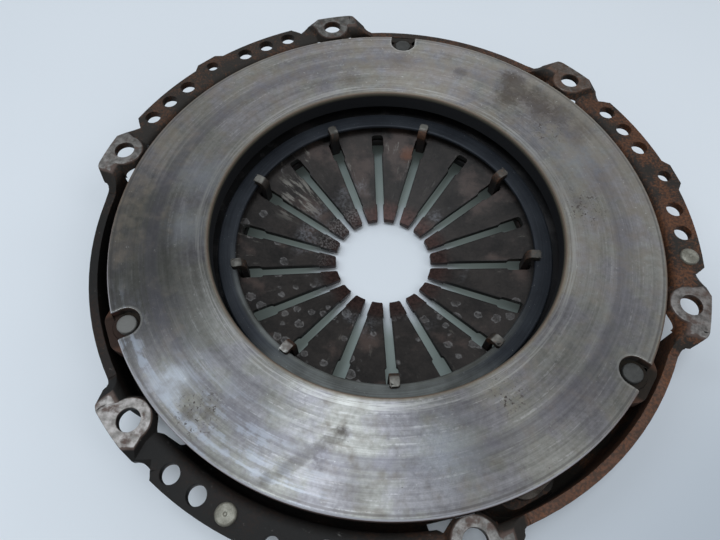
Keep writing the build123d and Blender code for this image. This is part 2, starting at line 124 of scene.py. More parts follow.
# ---- bench top ---------------------------------------------------------------------------
# A pale, matt laminate bench that the part lies on, rear face down.
# Its colour is painted falling off from bluish white to blue-grey away from the light, as painted shade.
class Shade:
    """A value or a colour that varies over a surface, held by a socket of the material's nodes."""

    def __init__(self, tree, socket):
        self.tree = tree
        self.socket = socket

    def node(self, kind, settings, inputs, output=0):
        """Adds a node of a kind with its settings, then fills its sockets with values or shades."""
        made = self.tree.nodes.new("ShaderNode" + kind)
        for name, value in settings.items():
            setattr(made, name, value)
        for name, value in inputs.items():
            if isinstance(value, Shade):
                self.tree.links.new(value.socket, made.inputs[name])
            else:
                made.inputs[name].default_value = value
        return Shade(self.tree, made.outputs[output])

    def maths(self, operation, *others):
        """The Math node of this name on this value and, where it takes more, on the others."""
        return self.node("Math", {"operation": operation}, dict(enumerate((self, *others))))

    def maths_after(self, operation, first):
        """The Math node of this name with this value as its second operand."""
        return self.node("Math", {"operation": operation}, {0: first, 1: self})

    def __add__(self, other):
        return self.maths("ADD", other)

    def __radd__(self, other):
        return self.maths_after("ADD", other)

    def __sub__(self, other):
        return self.maths("SUBTRACT", other)

    def __rsub__(self, other):
        return self.maths_after("SUBTRACT", other)

    def __mul__(self, other):
        return self.maths("MULTIPLY", other)

    def __rmul__(self, other):
        return self.maths_after("MULTIPLY", other)

    def __truediv__(self, other):
        return self.maths("DIVIDE", other)

    def __rtruediv__(self, other):
        return self.maths_after("DIVIDE", other)

    def most(self, other):
        return self.maths("MAXIMUM", other)

    def least(self, other):
        return self.maths("MINIMUM", other)

    def rise(self, low, high):
        """0 below low and 1 above high with a soft step between; it falls where low is the larger."""
        limits = {"Value": self, "From Min": low, "From Max": high}
        return self.node("MapRange", {"interpolation_type": "SMOOTHSTEP"}, limits)

    def ring(self, middle, half, soft):
        """1 in a band round a middle value, fading out over a soft edge."""
        return (self - middle).maths("ABSOLUTE").rise(half + soft, half)

    def tint(self, low, high):
        """The colour low where this is 0, and the colour high where it is 1."""
        ends = [end if isinstance(end, Shade) else (*end, 1) for end in (low, high)]
        return self.node("Mix", {"data_type": "RGBA"}, {"Factor": self, 6: ends[0], 7: ends[1]}, 2)

    def axes(self):
        """The x, y and z of a place, or the parts of a colour."""
        split = self.tree.nodes.new("ShaderNodeSeparateXYZ")
        self.tree.links.new(self.socket, split.inputs[0])
        return [Shade(self.tree, output) for output in split.outputs]

    def vector(self, x, y, z):
        return self.node("CombineXYZ", {}, {"X": x, "Y": y, "Z": z})

    def noise(self, scale, detail=4.0, rough=0.55, warp=0.0):
        """Soft cloudy noise from 0 to 1 with this many features to a unit of the vector."""
        looks = {"Vector": self, "Scale": scale, "Detail": detail, "Roughness": rough, "Distortion": warp}
        return self.node("TexNoise", {}, looks)

    def cells(self, scale, output=0):
        """Distance to the middle of the nearest cell, or from output 1 a colour for each cell."""
        return self.node("TexVoronoi", {}, {"Vector": self, "Scale": scale}, output)

    def into(self, shader, socket):
        """Feeds one of the shader's sockets."""
        self.tree.links.new(self.socket, shader.inputs[socket])

    def relief(self, shader, depth):
        """Raises the surface by this height where the value is 1."""
        bump = self.node("Bump", {}, {"Height": self, "Distance": depth, "Strength": 1.0})
        bump.into(shader, "Normal")


def new_finish(name):
    """A new material, its shader, and the place on the object in millimetres."""
    material = bpy.data.materials.new(name)
    material.use_nodes = True
    tree = material.node_tree
    place = Shade(tree, tree.nodes.new("ShaderNodeTexCoord").outputs["Object"])
    millimetres = place.node("VectorMath", {"operation": "SCALE"}, {0: place, "Scale": 1000.0})
    return material, tree.nodes["Principled BSDF"], millimetres


def distance(x, y):
    """How far off a place is whose x and y are given."""
    return (x * x + y * y).maths("SQRT")


bench_finish, bench_shader, bench_place = new_finish("bench_laminate")
bench_x, bench_y = bench_place.axes()[:2]
# painted shade: the bench's colour darkens away from the light
bench_painted_falloff = (bench_x * 0.8 - bench_y * 0.6).rise(70.0, 210.0)
bench_mottle = bench_place.noise(0.004, 2.0) * 0.25
bench_tone = (bench_painted_falloff + bench_mottle - 0.12).tint((0.78, 0.81, 0.84), (0.46, 0.50, 0.545))
# painted shade and glow: under the spring the bench is painted darker and green, as the part's own shade,
# and it glows a faint green to fill that shade evenly
bench_r = distance(bench_x, bench_y)
shade_start = bench_r.rise(27.0, 42.0)
shade_end = bench_r.rise(95.0, 84.0)
(shade_start * shade_end).tint(bench_tone, (0.21, 0.245, 0.235)).into(bench_shader, "Base Color")
# painted glow: the bench's emission here lights it faintly green, though it is no lamp
painted_glow_under_part = shade_start * bench_r.rise(92.0, 44.0)
painted_glow_under_part.tint((0.0, 0.0, 0.0), (0.072, 0.088, 0.084)).into(bench_shader, "Emission Color")
bench_shader.inputs["Emission Strength"].default_value = 1.0
bench_shader.inputs["Roughness"].default_value = 0.6
bench_shader.inputs["Specular IOR Level"].default_value = 0.2

bpy.ops.object.select_all(action="DESELECT")
bpy.ops.mesh.primitive_plane_add(size=6, location=(0, 0, cad_box[0][2]))
bench = bpy.context.object
bench.name = "bench"
bpy.ops.object.transform_apply(location=True, rotation=True, scale=True)
bench.data.materials.append(bench_finish)


# ---- cover -------------------------------------------------------------------------------
# The cover is pressed from 3.8 mm sheet steel: seat, slope, floor, wall, low flange, six ears
# and nine hooks are one piece. It is oiled and rusty, and bare where it was clamped to the flywheel.
def worked_copy(node, name):
    """A copy of a solid's mesh with its doubles merged."""
    piece = bpy.data.objects.new(name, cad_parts[node].data.copy())
    scene.collection.objects.link(piece)
    choose(piece)
    bpy.ops.mesh.customdata_custom_splitnormals_clear()
    bpy.ops.object.mode_set(mode="EDIT")
    bpy.ops.mesh.select_all(action="SELECT")
    bpy.ops.mesh.remove_doubles(threshold=2e-6)
    bpy.ops.object.mode_set(mode="OBJECT")
    return piece


def choose(piece):
    """Makes this the one selected and active object."""
    bpy.ops.object.select_all(action="DESELECT")
    piece.select_set(True)
    bpy.context.view_layer.objects.active = piece


def round_edges(piece, width, sharp=30, segments=2):
    """Rounds the piece's sharp edges, then shades it smooth."""
    choose(piece)
    bevel = piece.modifiers.new("rounded_edges", "BEVEL")
    bevel.width = width
    bevel.segments = segments
    bevel.limit_method = "ANGLE"
    bevel.angle_limit = radians(sharp)
    bevel.use_clamp_overlap = False
    bpy.ops.object.modifier_apply(modifier=bevel.name)
    smooth(piece, sharp)


def smooth(piece, sharp=30):
    """Shades the piece smooth up to an angle, with its flat faces kept flat."""
    choose(piece)
    bpy.ops.object.shade_smooth_by_angle(angle=radians(sharp))
    weigh = piece.modifiers.new("flat_faces", "WEIGHTED_NORMAL")
    weigh.keep_sharp = True
    bpy.ops.object.modifier_apply(modifier=weigh.name)


def pick(piece, wanted):
    """Selects the edges in edit mode that pass a test, and no others."""
    mesh = bmesh.from_edit_mesh(piece.data)
    for vertex in mesh.verts:
        vertex.select = False
    for edge in mesh.edges:
        edge.select = False
    for face in mesh.faces:
        face.select = False
    for edge in mesh.edges:
        if wanted(edge):
            edge.select_set(True)
    mesh.select_flush_mode()
    bmesh.update_edit_mesh(piece.data)


def block(name, size, place, corner=0.0):
    """A block of a size round a place, in mm, with its upright edges rounded."""
    bpy.ops.object.select_all(action="DESELECT")
    bpy.ops.mesh.primitive_cube_add(size=1)
    piece = bpy.context.object
    piece.name = name
    bpy.ops.object.mode_set(mode="EDIT")
    bpy.ops.mesh.select_mode(type="EDGE")
    bpy.ops.transform.resize(value=[side * MM for side in size], center_override=(0, 0, 0))
    bpy.ops.transform.translate(value=[side * MM for side in place])
    if corner:
        pick(piece, lambda edge: abs(edge.verts[0].co.z - edge.verts[1].co.z) > 0.5 * size[2] * MM)
        bpy.ops.mesh.bevel(offset=corner * MM, segments=6)
    bpy.ops.mesh.select_mode(type="VERT")
    bpy.ops.object.mode_set(mode="OBJECT")
    return piece


def copied(piece, name, move):
    """A copy of the piece with its own mesh, moved or turned into place."""
    copy = bpy.data.objects.new(name, piece.data.copy())
    scene.collection.objects.link(copy)
    copy.data.transform(move)
    return copy


def ring_of(piece, count, start):
    """Copies of the piece at equal angles round the axis, joined into one, in place of the piece."""
    copies = []
    for number in range(count):
        turn = Matrix.Rotation(radians(start + number * 360 / count), 4, "Z")
        copies.append(copied(piece, piece.name, turn))
    bpy.data.objects.remove(piece)
    bpy.ops.object.select_all(action="DESELECT")
    for copy in copies:
        copy.select_set(True)
    bpy.context.view_layer.objects.active = copies[0]
    bpy.ops.object.join()
    return copies[0]


def combine(piece, tool, operation):
    """Joins the tool's shape to the piece, or cuts it away, and removes the tool."""
    choose(piece)
    cut = piece.modifiers.new("combine", "BOOLEAN")
    cut.operation = operation
    cut.solver = "EXACT"
    cut.object = tool
    bpy.ops.object.modifier_apply(modifier=cut.name)
    bpy.data.objects.remove(tool)


def fit(piece, finish, body, slot, *nodes):
    """Gives the finished piece its material and its body, and hides the solids it stands for. The slot is
    not used.
    """
    piece.data.materials.clear()
    piece.data.materials.append(finish)
    if body:
        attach(piece, body)
    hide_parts(*nodes)


def polar(x, y):
    """Radius, and x and y on a circle of radius 1, so that a pattern round the axis has no seam."""
    radius = distance(x, y).most(0.001)
    return radius, x / radius, y / radius


def folded(x, y, count, start):
    """Radial and sideways distance in the nearest of equal sectors, the first at a start angle."""
    pitch = 2 * pi / count
    angle = y.maths("ARCTAN2", x) - (start - pitch / 2)
    local = angle.maths("FLOORED_MODULO", pitch) - pitch / 2
    radius = distance(x, y)
    return radius * local.maths("COSINE"), radius * local.maths("SINE")


cover_finish, cover_shader, cover_place = new_finish("rusty_pressed_steel")
cover_x, cover_y, cover_z = cover_place.axes()
cover_r = polar(cover_x, cover_y)[0]
# rust comes in clouds, with orange bloom on the right-hand flange
rust_cloud = cover_place.noise(0.055, 7.0, 0.62)
rust_grain = cover_place.noise(0.9, 5.0, 0.6)
orange_side = (cover_x * 0.9 + cover_y * 0.2).rise(60.0, 120.0)
rust = (rust_cloud * 1.2 + rust_grain * 0.5 + orange_side * 0.06).rise(0.80, 1.02)
steel_tone = (rust_grain * 0.6 + rust_cloud * 0.5).tint((0.008, 0.0065, 0.005), (0.036, 0.029, 0.023))
rust_tone = rust_grain.rise(0.3, 0.75).tint((0.050, 0.022, 0.012), (0.170, 0.066, 0.028))
# the bent rim is browner than the flanges
rim = cover_r.ring(129.5, 2.6, 1.2) * cover_z.rise(-16.0, -12.0) * cover_z.rise(-4.6, -5.6)
rim = rim * (cover_x * 0.8 - cover_y * 0.3).rise(-90.0, 70.0)
rim_rust = rust_grain.rise(0.35, 0.7).tint((0.062, 0.034, 0.022), (0.175, 0.078, 0.045))
steel_tone = (rim * 0.78).tint(steel_tone, rim_rust)
pressed_tone = (rust * (0.5 + orange_side * 0.4)).tint(steel_tone, rust_tone)
# the near left is oiled almost black, with pale scuffs
near_left = (0 - cover_x * 0.5 - cover_y * 0.9).rise(40.0, 110.0)
pressed_tone = (near_left * 0.88 * (1 - rim)).tint(pressed_tone, (0.0062, 0.0056, 0.0052))
# painted shade: under the plate the cover's floor is painted near black
painted_shade_under_plate = cover_r.rise(100.0, 90.0) * cover_z.rise(-15.0, -18.0)
pressed_tone = (painted_shade_under_plate * 0.8).tint(pressed_tone, (0.004, 0.004, 0.005))
scuffs = cover_place.noise(0.3, 6.0, 0.65).rise(0.64, 0.70) * rust_grain.rise(0.4, 0.6)
scuffs = scuffs * (0.12 + near_left * 0.4)
pressed_tone = scuffs.tint(pressed_tone, (0.27, 0.26, 0.24))
# the ear faces are rubbed bare, with a stained margin
ear_height = cover_z.rise(-1.1, -0.35)
ear_stain = (cover_place.noise(0.22, 6.0, 0.6) + cover_z.rise(-0.02, -0.5) * 0.35).rise(0.50, 0.66)
bare_cloud = cover_place.noise(0.35, 5.0, 0.6).rise(0.3, 0.72)
bare_tone = bare_cloud.tint((0.075, 0.070, 0.064), (0.22, 0.21, 0.195))
bare_tone = near_left.tint(bare_tone, bare_cloud.tint((0.19, 0.175, 0.16), (0.44, 0.41, 0.39)))
right_ear = cover_x.rise(100.0, 125.0)
bare_tone = (right_ear * 0.6).tint(bare_tone, bare_cloud.tint((0.12, 0.108, 0.10), (0.33, 0.30, 0.285)))
ear_tone = (ear_stain * 0.85).tint(bare_tone, (0.085, 0.050, 0.038))
rusty_ear = (cover_x * 0.5 + cover_y * 0.6).rise(62.0, 95.0)
rusty_ear = rusty_ear * (rust_cloud * 0.7 + rust_grain * 0.5).rise(0.42, 0.7)
ear_tone = (rusty_ear * 0.75).tint(ear_tone, (0.145, 0.082, 0.054))
# hooks are rubbed bright on top
hook_top = cover_z.rise(-12.5, -11.95) * cover_r.rise(80.0, 75.0)
hook_rub = hook_top * (0.25 + cover_place.noise(0.12, 3.0).rise(0.42, 0.6) * 0.75)
cover_tone = ear_height.tint(pressed_tone, ear_tone)
near_hook = (0 - cover_x * 0.33 - cover_y * 0.94).rise(58.0, 66.0)
cover_tone = hook_rub.tint(cover_tone, near_hook.tint((0.24, 0.23, 0.205), (0.44, 0.43, 0.40)))
cover_tone.into(cover_shader, "Base Color")
cover_bare = (ear_height * (1 - ear_stain * 0.8)).most(hook_rub)
(cover_bare * 0.7 + 0.1).into(cover_shader, "Metallic")
(0.62 - cover_bare * 0.12 + rust_grain * 0.1).into(cover_shader, "Roughness")
cover_shader.inputs["Specular IOR Level"].default_value = 0.3
(rust_grain * 0.7 + rust_cloud * 0.5).relief(cover_shader, 0.00018)

cover = worked_copy("cover", "cover_pressing")
round_edges(cover, 0.35 * MM, 50)
# the rounding leaves small points at tight corners, which are pressed back level
for vertex in cover.data.vertices:
    vertex.co.z = min(max(vertex.co.z, cad_box[0][2]), cad_box[1][2])
# beside the low flange each ear's corner is pressed down in a ramp, on the right or on the left
ramp_length, ramp_width, ramp_height = 12.0, 16.0, 8.0
ramp_out, ramp_aside = 136.2, 8.5
ramp_turn, ramp_tilt = 50, 40
ramp_middle = (ramp_length / 2, 0, ramp_height / 2)
for side, first_ear in ((1, 0), (-1, 60)):
    ramp = block("ear_ramp", (ramp_length, ramp_width, ramp_height), ramp_middle)
    turn = Matrix.Rotation(side * radians(ramp_turn), 4, "Z")
    tilt = Matrix.Rotation(radians(ramp_tilt), 4, "Y")
    ramp.data.transform(Matrix.Translation((ramp_out * MM, side * ramp_aside * MM, 0)) @ turn @ tilt)
    combine(cover, ring_of(ramp, 3, first_ear), "DIFFERENCE")
smooth(cover)
fit(cover, cover_finish, "cover", "cover_steel", "cover")


# ---- pressure plate ----------------------------------------------------------------------
# The plate is cast iron with a face ground flat on a lathe, then worn by the clutch disc.
# Three lugs with round pockets carry the drive straps; the back and the edge stay as cast.
def turned(name, outline, sides):
    """A piece turned on a lathe: a ring drawn out to the radii and heights of an outline, in mm."""
    radius, height = outline[0]
    bpy.ops.object.select_all(action="DESELECT")
    bpy.ops.mesh.primitive_circle_add(vertices=sides, radius=radius * MM)
    piece = bpy.context.object
    piece.name = name
    bpy.ops.object.mode_set(mode="EDIT")
    bpy.ops.mesh.select_mode(type="EDGE")
    bpy.ops.transform.translate(value=(0, 0, height * MM))
    for next_radius, next_height in (*outline[1:], outline[0]):
        bpy.ops.mesh.extrude_edges_move()
        scale = next_radius / radius
        bpy.ops.transform.resize(value=(scale, scale, 1), center_override=(0, 0, 0))
        bpy.ops.transform.translate(value=(0, 0, (next_height - height) * MM))
        radius, height = next_radius, next_height
    bpy.ops.mesh.select_all(action="SELECT")
    bpy.ops.mesh.remove_doubles(threshold=1e-6)
    bpy.ops.mesh.normals_make_consistent(inside=False)
    bpy.ops.mesh.select_mode(type="VERT")
    bpy.ops.object.mode_set(mode="OBJECT")
    return piece


plate_r, bore_r = 122.0, 78.8
face_height, back_height = -0.8, -10.2
edge_chamfer = 0.8
relief_r, relief_depth = 109.2, 2.6
ridge_r, ridge_half, ridge_depth = 96.0, 2.6, 3.3
nose_half, nose_round = 1.0, 0.9
plate = turned(
    "pressure_plate_casting",
    (
        (bore_r, face_height - edge_chamfer),
        (bore_r + edge_chamfer, face_height),
        (plate_r - edge_chamfer, face_height),
        (plate_r, face_height - edge_chamfer),
        (plate_r, back_height + relief_depth),
        (relief_r, back_height + relief_depth),
        (relief_r - relief_depth, back_height),
        (ridge_r + ridge_half, back_height),
        (ridge_r + ridge_half, back_height - ridge_depth + nose_round),
        (ridge_r + nose_half, back_height - ridge_depth),
        (ridge_r - nose_half, back_height - ridge_depth),
        (ridge_r - ridge_half, back_height - ridge_depth + nose_round),
        (ridge_r - ridge_half, back_height),
        (bore_r, back_height),
    ),
    240,
)
# the ridge that bears on the spring is broken by twelve notches
notch_width, notch_height = 12.0, 8.0
notch_place = (ridge_r, 0, back_height - notch_height / 2)
notch = block("notch", (4 * ridge_half, notch_width, notch_height), notch_place)
combine(plate, ring_of(notch, 12, 90), "DIFFERENCE")

# a lug flares from the plate's edge to a narrower nose
strap_circle_r, first_sector, lug_angle = 117.3, 90.0, 12.3
pocket_r, pocket_depth = 6.3, 4.4
lug_root, lug_width, lug_thickness = 15.0, 22.0, 7.2
lug_overhang, lug_nose_width, lug_corner_r = 4.0, 14.0, 2.0
pocket_floor = face_height - pocket_depth
lug_place = (plate_r - lug_root / 2, 0, pocket_floor - lug_thickness / 2)
lug = block("lug", (lug_root, lug_width, lug_thickness), lug_place)


def lug_end(edge):
    """True for the edges of the lug's outer face."""
    return min(end.co.x for end in edge.verts) > (plate_r - 0.1) * MM


def nose_corner(edge):
    """True for the upright edges at the lug's nose."""
    low, high = edge.verts[0].co, edge.verts[1].co
    upright = abs(low.z - high.z) > 0.7 * lug_thickness * MM
    return upright and min(low.x, high.x) > (plate_r + lug_overhang - 0.1) * MM


bpy.ops.object.mode_set(mode="EDIT")
bpy.ops.mesh.select_mode(type="EDGE")
pick(lug, lug_end)
bpy.ops.mesh.select_mode(type="FACE")
bpy.ops.mesh.extrude_region_move(TRANSFORM_OT_translate={"value": (lug_overhang * MM, 0, 0)})
nose_scale = (1, lug_nose_width / lug_width, 1)
bpy.ops.transform.resize(value=nose_scale, center_override=(0, 0, 0))
bpy.ops.mesh.select_mode(type="EDGE")
pick(lug, nose_corner)
bpy.ops.mesh.bevel(offset=lug_corner_r * MM, segments=5)
bpy.ops.mesh.select_mode(type="VERT")
bpy.ops.object.mode_set(mode="OBJECT")
combine(plate, ring_of(lug, 3, first_sector + lug_angle), "UNION")

# a round pocket with an open mouth lets the rivet's head sink below the face
cut_height, mouth_length = 10.0, 14.0
cut_middle = pocket_floor + cut_height / 2
bpy.ops.object.select_all(action="DESELECT")
bpy.ops.mesh.primitive_cylinder_add(vertices=48, radius=pocket_r * MM, depth=cut_height * MM)
pocket = bpy.context.object
pocket.data.transform(Matrix.Translation((strap_circle_r * MM, 0, cut_middle * MM)))
mouth_place = (strap_circle_r + mouth_length / 2, 0, cut_middle)
mouth = block("pocket_mouth", (mouth_length, 2 * pocket_r, cut_height), mouth_place)
combine(pocket, mouth, "UNION")
combine(plate, ring_of(pocket, 3, first_sector + lug_angle), "DIFFERENCE")
round_edges(plate, 0.3 * MM)

iron_finish, iron_shader, iron_place = new_finish("worn_cast_iron")
iron_x, iron_y, iron_z = iron_place.axes()
iron_r, iron_cos, iron_sin = polar(iron_x, iron_y)
# turned lines: noise drawn out round the axis, fine, broad, and as short bright scratches
fine_lines = iron_place.vector(iron_r * 1.2, iron_cos * 2.4, iron_sin * 2.4).noise(1.0, 4.0, 0.7)
broad_lines = iron_place.vector(iron_r * 0.34, iron_cos * 1.1, iron_sin * 1.1).noise(1.0, 5.0, 0.6)
scratch_lines = iron_place.vector(iron_r * 0.9, iron_cos * 5.0, iron_sin * 5.0).noise(1.0, 2.0, 0.5)
cloud = iron_place.noise(0.021, 6.0, 0.6, 0.4)
mottle = iron_place.noise(0.16, 7.0, 0.62)
speck = iron_place.noise(0.75, 5.0, 0.6)
grain = iron_place.noise(0.42, 5.0, 0.7)
# tone of the ground face, which wanders between a purplish and an olive grey
hue_cloud = iron_place.noise(0.045, 5.0, 0.6).rise(0.42, 0.58)
dark_grey = hue_cloud.tint((0.162, 0.155, 0.163), (0.168, 0.164, 0.147))
light_grey = hue_cloud.tint((0.40, 0.39, 0.402), (0.41, 0.405, 0.38))
face_grey = broad_lines * 0.65 + cloud * 0.5 + fine_lines * 0.42 + grain * 0.42 + speck * 0.3
# painted light: the right of the face is painted lighter
face_grey = face_grey + (iron_cos * 0.94 + iron_sin * 0.34).rise(0.62, 0.96) * 0.13
face_tone = face_grey.rise(0.80, 1.56).tint(dark_grey, light_grey)
scratches = scratch_lines.rise(0.60, 0.70) * speck.rise(0.35, 0.6)
face_tone = (scratches * 0.45).tint(face_tone, (0.56, 0.55, 0.54))
# painted shade: the left of the face is painted dark, in a band that turns with the radius
shade_turn = iron_r.rise(86.0, 112.0) * -0.24 - 2.42
shade_reach = 0.15 + iron_r.rise(84.0, 99.0) * 0.85
shade_aim = iron_cos * shade_turn.maths("COSINE") + iron_sin * shade_turn.maths("SINE")
left_painted_shade = shade_aim.rise(0.875, 0.975) * shade_reach * (0.6 + cloud * 0.6)
face_tone = (left_painted_shade * 0.72).least(0.75).tint(face_tone, (0.086, 0.086, 0.078))
heat_band = iron_r.ring(103.5, 1.6, 2.2).most(iron_r.ring(107.6, 0.3, 1.1) * 0.5)
heat_band = heat_band * (0.35 + cloud * 0.9).least(1.0)
face_tone = (heat_band * 0.55).tint(face_tone, (0.155, 0.150, 0.175))
# painted sheen: pale bluish patches on the near left of the face, where it reflects the lamps
near_left_sheen_region = (iron_x * -0.34 - iron_y * 0.94).rise(84.0, 112.0)
near_left_sheen_region = near_left_sheen_region.most((iron_x * -0.54 - iron_y * 0.84).rise(104.0, 115.0) * 1.5)
blue_painted_sheen = (broad_lines * 0.5 + mottle * 0.5).rise(0.50, 0.60) * near_left_sheen_region
face_tone = (blue_painted_sheen * 0.5).tint(face_tone, (0.45, 0.49, 0.56))
# painted light: the face is painted lighter in a few listed patches
painted_light_patches = 0.0
for light_patch_x, light_patch_y, light_patch_size, strength in (
    (-88, -2, 13, 0.4),
    (-83, -30, 11, 0.4),
    (-57, -96, 8, 0.9),
    (77, 64, 12, 0.35),
    (50, -87, 14, 0.35),
):
    light_patch_off = distance(iron_x - light_patch_x, iron_y - light_patch_y)
    light_patch_off = light_patch_off + (mottle - 0.5) * light_patch_size * 1.2 + (fine_lines - 0.5) * 10.0
    painted_light_patches = light_patch_off.rise(light_patch_size * 1.3, 0.0) * strength + painted_light_patches
face_tone = painted_light_patches.least(0.8).tint(face_tone, (0.52, 0.55, 0.60))
# brown film and rust, heaviest towards the upper right
upper = (iron_x * 0.35 + iron_y * 0.9).rise(-30.0, 100.0)
left_rim = (iron_cos * -1.0).rise(0.80, 0.99) * iron_r.rise(104.0, 116.0)
film = (mottle * 0.8 + cloud * 0.7 + upper * 0.2 + left_rim * 0.12).rise(0.72, 1.06)
face_tone = (film * 0.55).tint(face_tone, (0.235, 0.190, 0.142))
stains = 0.0
for stain_x, stain_y, stain_size, strength in (
    (41, 99, 11, 0.9),
    (36, 106, 7, 1.0),
    (36, 90, 8, 0.95),
    (53, 95, 10, 0.9),
    (64, 90, 10, 0.85),
    (54, 85, 9, 0.7),
    (75, 82, 9, 0.7),
    (44, 77, 9, 0.35),
    (81, 38, 5, 0.6),
    (75, 73, 6, 0.35),
    (10, 102, 5, 0.6),
    (1, 111, 4, 0.35),
    (-43, 79, 7, 0.5),
    (-23, 101, 8, 0.4),
    (-46, -105, 3.5, 0.55),
    (-39, -102, 3, 0.5),
    (-42, -98, 2.5, 0.4),
    (11, -93, 2.5, 0.5),
    (21, -111, 10, 0.3),
    (7, -106, 3, 0.3),
    (-101, -48, 9, 0.4),
    (96, -52, 8, 0.35),
):
    stain_off = distance(iron_x - stain_x, iron_y - stain_y)
    ragged = stain_off + (mottle - 0.5) * stain_size * 1.6 + (speck - 0.5) * 6.0
    stains = ragged.rise(stain_size * 1.25, 0.0) * strength + stains
# a greasy smear crosses the near side from (11, -93) to (-10, -118)
smear_along = ((iron_x - 11.0) * -0.643 + (iron_y + 93.0) * -0.766).most(0.0).least(32.6)
smear_off = distance(iron_x - 11.0 + smear_along * 0.643, iron_y + 93.0 + smear_along * 0.766)
smear_off = smear_off + (grain - 0.5) * 6.0
stains = (smear_off.rise(3.6, 0.6) * 0.32 + stains).least(1.0)
stains = stains * (0.55 + mottle * 0.75)
# clusters of rust pits
pit_zone = 0.0
for zone_x, zone_y, zone_size in ((-42, -103, 13), (66, -60, 11), (83, 36, 14), (60, 76, 12)):
    zone_off = distance(iron_x - zone_x, iron_y - zone_y)
    pit_zone = zone_off.rise(zone_size, zone_size * 0.3) + pit_zone
pit_film = pit_zone * grain.rise(0.42, 0.58)
face_tone = (pit_film * 0.32).tint(face_tone, (0.235, 0.210, 0.145))
face_tone = (stains.least(1.0) * 0.85).tint(face_tone, (0.070, 0.053, 0.041))
pits = speck.rise(0.69, 0.75) * (0.35 + grain.rise(0.45, 0.6) * 0.5)
pits = (iron_place.noise(0.8, 2.0, 0.5).rise(0.60, 0.65) * pit_zone.least(1.0)).most(pits)
flecks = iron_place.noise(0.6, 4.0, 0.6).rise(0.67, 0.74) * (0.3 + upper * 0.35)
face_tone = pits.tint(face_tone, (0.075, 0.062, 0.054))
face_tone = flecks.tint(face_tone, (0.68, 0.67, 0.64))
# the rims of the pockets are rubbed bright
pocket_out, pocket_side = folded(iron_x, iron_y, 3, radians(first_sector + lug_angle))
pocket_wall = distance((pocket_out - strap_circle_r).least(0.0), pocket_side)
pocket_rim = pocket_wall.ring(6.75, 0.3, 0.35)
face_tone = (pocket_rim * 0.25).tint(face_tone, (0.55, 0.54, 0.50))
near_edge = (0 - iron_y).rise(20.0, 95.0) * iron_r.rise(118.0, 120.0)
# a band by the bore is scratched bright, and the unworn lips at both edges are olive-brown
inner_rub = iron_r.ring(82.6, 1.2, 1.4) * fine_lines.rise(0.46, 0.58)
face_tone = (inner_rub * 0.45).tint(face_tone, (0.52, 0.51, 0.48))
lips = iron_r.rise(81.0, 79.6).most(iron_r.rise(120.4, 121.3) * (0.7 - near_edge * 0.7))
face_tone = (lips * 0.75).tint(face_tone, (0.20, 0.165, 0.115))
edge_line = iron_r.ring(120.1, 0.25, 0.35) * (0.3 + mottle)
face_tone = (edge_line * 0.6).tint(face_tone, (0.11, 0.10, 0.095))
# edge, back and pockets: rough casting, rusty brown to black, redder along the near edge, with a painted
# highlight on the near chamfer
cast_tone = (mottle * 0.7 + speck * 0.4).rise(0.35, 0.85).tint((0.016, 0.012, 0.010), (0.085, 0.046, 0.030))
cast_tone = (near_edge * 0.5).tint(cast_tone, (0.115, 0.040, 0.032))
chamfer = iron_z.rise(-1.75, -1.35) * iron_z.rise(-0.8, -0.95)
# painted highlight: the chamfer on the near edge is painted bluish white; elsewhere it is brown
chamfer_tone_and_highlight = near_edge.tint((0.20, 0.145, 0.115), (0.66, 0.68, 0.72))
cast_tone = (chamfer * 0.8).tint(cast_tone, chamfer_tone_and_highlight)
bore = iron_r.rise(79.3, 78.95)
# painted shade: the bore wall is painted near black below its olive-brown lip
bore_lip_and_painted_shade = iron_z.rise(-3.4, -1.7).tint((0.0045, 0.005, 0.007), (0.085, 0.074, 0.052))
cast_tone = bore.tint(cast_tone, bore_lip_and_painted_shade)
# painted shade: more than 3 mm below the face, the outer part of the plate with its pockets and lugs is
# painted near black
low_painted_shade = iron_z.rise(-3.0, -4.6) * iron_r.rise(108.0, 110.0)
cast_tone = (low_painted_shade * 0.72).tint(cast_tone, (0.0125, 0.0122, 0.0090))
lug_rust = iron_r.rise(120.5, 123.0) * pocket_side.maths("ABSOLUTE").rise(6.2, 8.5)
cast_tone = (lug_rust * 0.6).tint(cast_tone, (0.105, 0.052, 0.034))
face = iron_z.rise(-1.0, -0.86)
face.tint(cast_tone, face_tone).into(iron_shader, "Base Color")
worn = face * (1 - film * 0.35) * (1 - stains * 0.75) * (1 - pits) * (1 - lips * 0.5)
(worn * 0.96 + chamfer * 0.3).least(1.0).into(iron_shader, "Metallic")
face_rough = 0.35 + mottle * 0.12 + film * 0.1 + stains * 0.2
(face * face_rough + (1 - face) * 0.7).into(iron_shader, "Roughness")
turned_relief = (fine_lines * 0.7 + broad_lines * 0.4 + speck * 0.3) * face
cast_relief = (mottle * 1.6 + speck) * (1 - face)
(turned_relief + cast_relief - pits * 0.5).relief(iron_shader, 0.0001)
iron_shader.inputs["Specular IOR Level"].default_value = 0.25
iron_shader.inputs["Anisotropic"].default_value = 0.9
iron_shader.inputs["Anisotropic Rotation"].default_value = 0.25
fit(plate, iron_finish, "pressure_plate", "cast_iron", "pressure_plate")


# ---- diaphragm spring --------------------------------------------------------------------
# A cone of 2.6 mm spring steel, hardened and oiled dark, with 18 slots that leave 18 fingers.
# Stub hooks pass through the wide slot ends. The tips are rubbed red-brown by the release bearing.
cone_angle, spring_thickness = radians(16.2), 2.6
tip_r, fulcrum_r, spring_edge_r = 23.7, 74.5, 98.0
fulcrum_height = -20.0
finger_count, first_slot = 18, 10
spring_depth = spring_thickness / cos(cone_angle)


def cone_top(radius):
    """Height of the spring's front surface at a radius, in mm."""
    return fulcrum_height + tan(cone_angle) * (radius - fulcrum_r)


